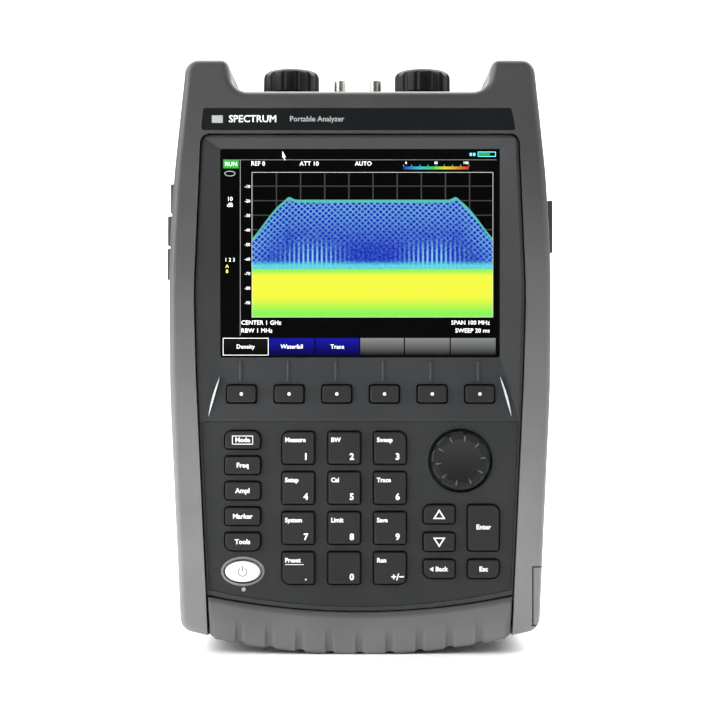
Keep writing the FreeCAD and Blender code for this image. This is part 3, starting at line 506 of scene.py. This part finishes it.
def density_material():
    """The density plot: noise floor, hump and lattice, drawn with arithmetic on the plot's own shares."""
    mat, tree = blank("density_plot")
    nodes, links = tree.nodes, tree.links
    place = nodes.new("ShaderNodeTexCoord")
    split = nodes.new("ShaderNodeSeparateXYZ")
    links.new(place.outputs["Object"], split.inputs[0])
    (x0, z0), (x1, z1) = at(PLOT_U[0], PLOT_V[0]), at(PLOT_U[1], PLOT_V[1])
    u = (Sum(tree, split.outputs[0]) - x0) * (1 / (x1 - x0))
    v = (Sum(tree, split.outputs[2]) - z0) * (1 / (z1 - z0))
    half = (u - 0.5).op("ABSOLUTE")
    slope = half.ramp(0.34, 0.56) * -0.33 + 0.80
    bump = (((half - 0.345) * 60.0).op("POWER", 2.0) * -1.0).op("EXPONENT") * 0.018
    top = slope + bump
    inside = v.less(top)
    edge = (v - top).op("ABSOLUTE").less(0.010)
    below = top - v
    noise = nodes.new("ShaderNodeTexNoise")
    noise.inputs["Scale"].default_value = 900.0
    links.new(place.outputs["Object"], noise.inputs["Vector"])
    fuzz = Sum(tree, noise.outputs["Fac"]) - 0.5
    bend = (half * half) * 5.0
    a = ((u * 250.0 + v * 160.0 + bend * 8.0).op("SINE") + 1.0) * 0.5
    b = ((u * 250.0 - v * 160.0 - bend * 8.0).op("SINE") + 1.0) * 0.5
    lattice = a.op("MAXIMUM", b).ramp(0.70, 1.0) * below.ramp(0.42, 0.0)
    streak_place = ((half - 0.25) * 9.0).op("POWER", 2.0) * -1.0
    comb = ((u * 330.0).op("SINE") + 1.0) * 0.5
    streaks = streak_place.op("EXPONENT") * comb.ramp(0.35, 1.0) * v.ramp(0.58, 0.40)
    glow = (lattice * 0.75 + streaks * 1.1 + fuzz * 0.8).op("MAXIMUM", 0.0).op("MINIMUM", 1.0)
    blue = mixed(tree, glow.socket, (0.012, 0.030, 0.50), (0.25, 0.66, 0.90))
    fringe = ((v + fuzz * 0.05) - 0.35).op("ABSOLUTE").ramp(0.045, 0.0)
    blue = mixed(tree, fringe.socket, blue, (0.12, 0.72, 0.80))
    yellow = mixed(tree, v.ramp(0.28, 0.33).socket, (0.93, 0.97, 0.06), (0.30, 0.90, 0.12))
    yellow = mixed(tree, v.ramp(0.16, 0.02).socket, yellow, (0.26, 0.93, 0.10))
    floor_edge = v.less(0.335)
    body = mixed(tree, floor_edge.socket, blue, yellow)
    gu = (u * 10.0).op("FRACT")
    gv = (v * 10.0).op("FRACT")
    lines = gu.less(0.05).op("MAXIMUM", gv.less(0.07))
    back = mixed(tree, lines.socket, (0.0, 0.0, 0.0), (0.06, 0.065, 0.065))
    colour = mixed(tree, inside.socket, back, body)
    colour = mixed(tree, edge.socket, colour, (0.10, 0.55, 0.45))
    out = nodes.new("ShaderNodeOutputMaterial")
    shader = nodes.new("ShaderNodeBsdfPrincipled")
    links.new(shader.outputs[0], out.inputs[0])
    links.new(colour, shader.inputs["Emission Color"])
    shader.inputs["Emission Strength"].default_value = 1.0
    shader.inputs["Base Color"].default_value = (0.0005, 0.0005, 0.0005, 1)
    shader.inputs["Specular IOR Level"].default_value = 0.15
    rough = fuzz * 0.02 + 0.14
    links.new(rough.socket, shader.inputs["Roughness"])
    return mat


def gradient_material(name, low, high, z0, z1, glow=0.9):
    """Lit cell whose colour runs from low at z0 to high at z1."""
    mat, tree = blank(name)
    share = (axis(tree, 2) - z0) * (1 / (z1 - z0))
    colour = mixed(tree, share.op("MULTIPLY", 1.0, clamp=True).socket, low, high)
    out = tree.nodes.new("ShaderNodeOutputMaterial")
    shader = tree.nodes.new("ShaderNodeBsdfPrincipled")
    tree.links.new(shader.outputs[0], out.inputs[0])
    tree.links.new(colour, shader.inputs["Emission Color"])
    shader.inputs["Emission Strength"].default_value = glow
    shader.inputs["Base Color"].default_value = (0.0005, 0.0005, 0.0005, 1)
    shader.inputs["Specular IOR Level"].default_value = 0.15
    shader.inputs["Roughness"].default_value = 0.14
    return mat


def scale_bar_material(x0, x1):
    """Lit colour scale from blue to red, from x0 to x1."""
    mat = gradient_material("scale_bar", (0, 0, 0), (0, 0, 0), 0, 1)
    tree = mat.node_tree
    share = (axis(tree, 0) - x0) * (1 / (x1 - x0))
    ramp = tree.nodes.new("ShaderNodeValToRGB")
    tree.links.new(share.socket, ramp.inputs[0])
    stops = ((0.0, (0.02, 0.03, 0.5)), (0.25, (0.05, 0.6, 0.8)), (0.45, (0.05, 0.7, 0.1)),
             (0.65, (0.85, 0.8, 0.02)), (0.85, (0.85, 0.25, 0.02)), (1.0, (0.7, 0.02, 0.02)))
    while len(ramp.color_ramp.elements) < len(stops):
        ramp.color_ramp.elements.new(0.5)
    for element, (where, colour) in zip(ramp.color_ramp.elements, stops):
        element.position = where
        element.color = (*colour, 1)
    shader = find(tree, "BSDF_PRINCIPLED")
    tree.links.new(ramp.outputs[0], shader.inputs["Emission Color"])
    return mat


L1, L2, L3 = GLASS_Y - SKIN, GLASS_Y - 2 * SKIN, GLASS_Y - 3 * SKIN

(gx0, gz0), (gx1, gz1) = at(PLOT_U[0], PLOT_V[0]), at(PLOT_U[1], PLOT_V[1])
plot = Sheet(L1)
plot.rect(gx0, gz0, gx1, gz1)
plot.done("screen_density_plot", density_material())

lines = Sheet(L2)
lines.frame(gx0, gz0, gx1, gz1, 0.00025)
lines.done("screen_plot_frame", "lit_dim")
rule = Sheet(L2)
rule.rect(*at(0.01, 0.948), *at(0.99, 0.950))
rule.rect(*at(0.070, 0.105), *at(0.0722, 0.948))
rule.done("screen_rules", "lit_line")
tag = Sheet(L1)
tag.rect(*at(0.010, 0.908), *at(0.066, 0.948))
tag.done("screen_mode_tag", "lit_green")

T = 0.0021
head = Sheet(L2)
for text, u, v, size in (("RUN", 0.038, 0.928, T), ("REF 0", 0.135, 0.930, T), ("ATT 10", 0.318, 0.930, T),
                         ("AUTO", 0.512, 0.930, T)):
    head.text(text, *at(u, v), size)
for i, text in enumerate(("0", "50", "100")):
    head.text(text, *at(0.665 + 0.107 * i, 0.934), T * 0.6)
head.done("screen_header_text", "lit")
side = Sheet(L2)
for i in range(1, 10):
    side.text("-%d0" % i, *at(0.107, PLOT_V[1] - (PLOT_V[1] - PLOT_V[0]) * i / 10), T * 0.72, align="RIGHT")
side.text("10\ndB", *at(0.034, 0.746), T * 0.95)
side.text("1 2 3", *at(0.034, 0.468), T * 0.85)
side.done("screen_scale_text", "lit")
marks = Sheet(L2)
marks.text("A\nB", *at(0.024, 0.425), T * 0.8)
marks.done("screen_trace_marks", "lit_yellow")
eye = Sheet(L2)
ex, ez = at(0.034, 0.883)
eye.oval(ex, ez, 0.0026, 0.0013, 0.0003, count=24)
eye.done("screen_sweep_icon", "lit_dim")
foot = Sheet(L2)
for text, u, v, align in (("CENTER 1 GHz", 0.074, 0.166, "LEFT"), ("RBW 1 MHz", 0.074, 0.128, "LEFT"),
                          ("SPAN 100 MHz", 0.965, 0.166, "RIGHT"), ("SWEEP 20 ms", 0.965, 0.128, "RIGHT")):
    foot.text(text, *at(u, v), T, align=align)
foot.done("screen_footer_text", "lit")

(bx0, bz0), (bx1, bz1) = at(0.655, 0.903), at(0.890, 0.917)
bar = Sheet(L1)
bar.rect(bx0, bz0, bx1, bz1)
bar.done("screen_colour_bar", scale_bar_material(bx0, bx1))
ticks = Sheet(L2)
for i in range(9):
    tx, tz = at(0.655 + 0.0293 * i, 0.919)
    ticks.rect(tx, tz, tx + 0.00018, tz + 0.0006)
for i, u in enumerate((0.893, 0.905)):
    ix, iz = at(u, 0.975)
    ticks.rect(ix, iz - 0.0007, ix + 0.0011, iz + 0.0007)
sx, sz = at(0.922, 0.964)
ticks.frame(sx, sz, sx + 0.0086, sz + 0.0024, 0.0003)
ticks.done("screen_status_icons", "lit_cyan")
charge = Sheet(L2)
charge.rect(sx + 0.0006, sz + 0.0006, sx + 0.0058, sz + 0.0018)
charge.done("screen_battery_level", "lit_green")
pointer = Sheet(L3)
ax, az = at(0.222, 0.992)
pointer.fill([(ax, az), (ax + 0.0016, az - 0.0030), (ax + 0.0009, az - 0.0029), (ax + 0.0014, az - 0.0044),
              (ax + 0.0009, az - 0.0045), (ax + 0.0005, az - 0.0030), (ax, az - 0.0034)])
pointer.done("screen_pointer", "lit")

CELL_U = (0.009, 0.172, 0.339, 0.499, 0.659, 0.823, 0.988)
cz0, cz1 = at(0, 0.010)[1], at(0, 0.093)[1]
CELL_LOOKS = [gradient_material("cell_black", (0.0, 0.0, 0.0), (0.01, 0.01, 0.01), cz0, cz1),
              gradient_material("cell_blue", (0.0, 0.0, 0.05), (0.01, 0.01, 0.42), cz0, cz1),
              gradient_material("cell_grey", (0.002, 0.002, 0.002), (0.30, 0.31, 0.31), cz0, cz1)]
for i in range(6):
    cell = Sheet(L1)
    x0, x1 = at(CELL_U[i], 0)[0], at(CELL_U[i + 1], 0)[0]
    cell.rect(x0 + 0.0003, cz0, x1 - 0.0003, cz1)
    cell.done("screen_menu_cell_%d" % (i + 1), CELL_LOOKS[0 if i == 0 else 1 if i < 3 else 2])
menu = Sheet(L2)
for u, text in ((0.090, "Density"), (0.256, "Waterfall"), (0.419, "Trace")):
    menu.text(text, *at(u, 0.051), T * 0.98)
x0, x1 = at(CELL_U[0], 0)[0], at(CELL_U[1], 0)[0]
menu.frame(x0, cz0, x1, cz1, 0.0002)
menu.done("screen_menu_text", "lit")

# ---- stage ----------------------------------------------------------------------------------------
def stage_mesh():
    """Floor that curves up into a backdrop."""
    front, back, bend, height, half = -3.0, 2.2, 0.8, 3.2, 3.4
    rows = [(front, 0.0), (back - bend, 0.0)]
    rows += [(back - bend + bend * math.sin(a), bend - bend * math.cos(a))
             for a in [math.pi / 2 * i / 12 for i in range(1, 13)]]
    rows.append((back, height))
    verts = [(side * half, y, z) for y, z in rows for side in (-1, 1)]
    faces = [(2 * i, 2 * i + 1, 2 * i + 3, 2 * i + 2) for i in range(len(rows) - 1)]
    mesh = bpy.data.meshes.new("studio_floor")
    mesh.from_pydata(verts, [], faces)
    for poly in mesh.polygons:
        poly.use_smooth = True
    paper = moulded("studio_paper", (0.90, 0.90, 0.90), (0.92, 0.92, 0.92), 0.8, depth=0.02, blotch=2.0)
    mesh.materials.append(paper)
    ob = bpy.data.objects.new("studio_floor", mesh)
    bpy.context.scene.collection.objects.link(ob)
    return ob


stage_mesh()


def lamp_area(name, where, target, power, size, size_y=None):
    data = bpy.data.lights.new(name, "AREA")
    data.energy = power
    data.shape = "RECTANGLE"
    data.size = size
    data.size_y = size_y or size
    ob = bpy.data.objects.new(name, data)
    ob.location = where
    ob.rotation_euler = (Vector(target) - Vector(where)).to_track_quat("-Z", "Y").to_euler()
    bpy.context.scene.collection.objects.link(ob)


lamp_area("key_light", (-0.95, -0.85, 0.85), (0, 0, 0.14), 14.5, 0.7)
lamp_area("fill_light", (0.95, -0.75, 0.60), (0, 0, 0.14), 3.0, 0.7)
lamp_area("top_light", (0.0, 0.35, 1.3), (0, -0.05, 0.0), 26, 1.3)
lamp_area("side_strip_left", (-0.60, -0.25, 0.20), (0, 0, 0.12), 5, 0.25, 0.8)
lamp_area("side_strip_right", (0.60, -0.25, 0.20), (0, 0, 0.12), 1.2, 0.25, 0.8)
lamp_area("floor_wash_left", (-0.9, 0.5, 0.9), (-0.5, 0.4, 0.0), 20, 0.8)
lamp_area("floor_wash_right", (0.9, 0.5, 0.9), (0.5, 0.4, 0.0), 20, 0.8)
lamp_area("back_wash", (0.0, 0.9, 1.6), (0, 2.1, 0.4), 70, 2.0)

world = bpy.data.worlds.new("studio")
bpy.context.scene.world = world
world.use_nodes = True
world.node_tree.nodes["Background"].inputs[0].default_value = (1, 1, 1, 1)
world.node_tree.nodes["Background"].inputs[1].default_value = WORLD_LIGHT

cam_data = bpy.data.cameras.new("camera")
cam_data.lens = LENS
cam_data.sensor_width = SENSOR
cam_data.clip_start = 0.01
cam = bpy.data.objects.new("camera", cam_data)
cam.location = EYE
cam.rotation_euler = (math.radians(90), 0, 0)
bpy.context.scene.collection.objects.link(cam)
bpy.context.scene.camera = cam
bpy.context.scene.view_settings.view_transform = "Standard"
